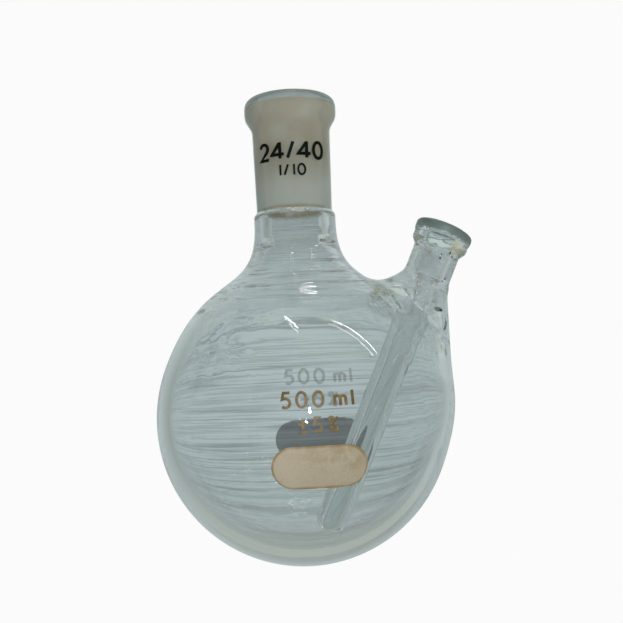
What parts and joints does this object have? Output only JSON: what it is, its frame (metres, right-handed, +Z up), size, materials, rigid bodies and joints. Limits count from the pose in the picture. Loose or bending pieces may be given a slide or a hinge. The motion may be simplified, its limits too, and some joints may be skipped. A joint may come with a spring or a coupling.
{
  "type": "two-neck boiling flask",
  "caption": "Round-bottom boiling flask with a ground-joint neck and a slanted side neck that ends in a sealed thermometer well inside the bulb.",
  "frame": {"origin": "lowest point of the bulb, on the axis of the upright neck", "axes": "+Z up along the upright neck, +X towards the side neck, which leans outwards in the XZ plane; the printed marks face -Y"},
  "size_m": [0.1158, 0.1056, 0.1686],
  "materials": {
    "clear_glass": "fire-polished clear borosilicate glass, faint green-grey tint",
    "ground_glass": "clear outside, ground inside, so it looks frosted, with a tan stain",
    "brown_enamel": "fired brown enamel print, slightly worn",
    "cream_enamel": "matte fired enamel that takes pencil",
    "black_enamel": "fired black enamel print"
  },
  "bodies": {
    "root": {"bulb": "clear_glass", "neck_tube": "clear_glass", "joint_lip": "clear_glass", "side_lip": "clear_glass", "side_collar": "clear_glass", "side_neck": "clear_glass", "ring_seal": "clear_glass", "thermometer_well": "clear_glass", "ground_joint": "ground_glass", "volume_5": "brown_enamel", "volume_0a": "brown_enamel", "volume_0b": "brown_enamel", "volume_m": "brown_enamel", "volume_l": "brown_enamel", "tolerance_plus": "brown_enamel", "tolerance_minus": "brown_enamel", "tolerance_5": "brown_enamel", "tolerance_percent": "brown_enamel", "writing_patch": "cream_enamel", "size_2": "black_enamel", "size_4a": "black_enamel", "size_slash": "black_enamel", "size_4b": "black_enamel", "size_0": "black_enamel", "taper_1a": "black_enamel", "taper_slash": "black_enamel", "taper_1b": "black_enamel", "taper_0": "black_enamel"}
  },
  "joints": []
}
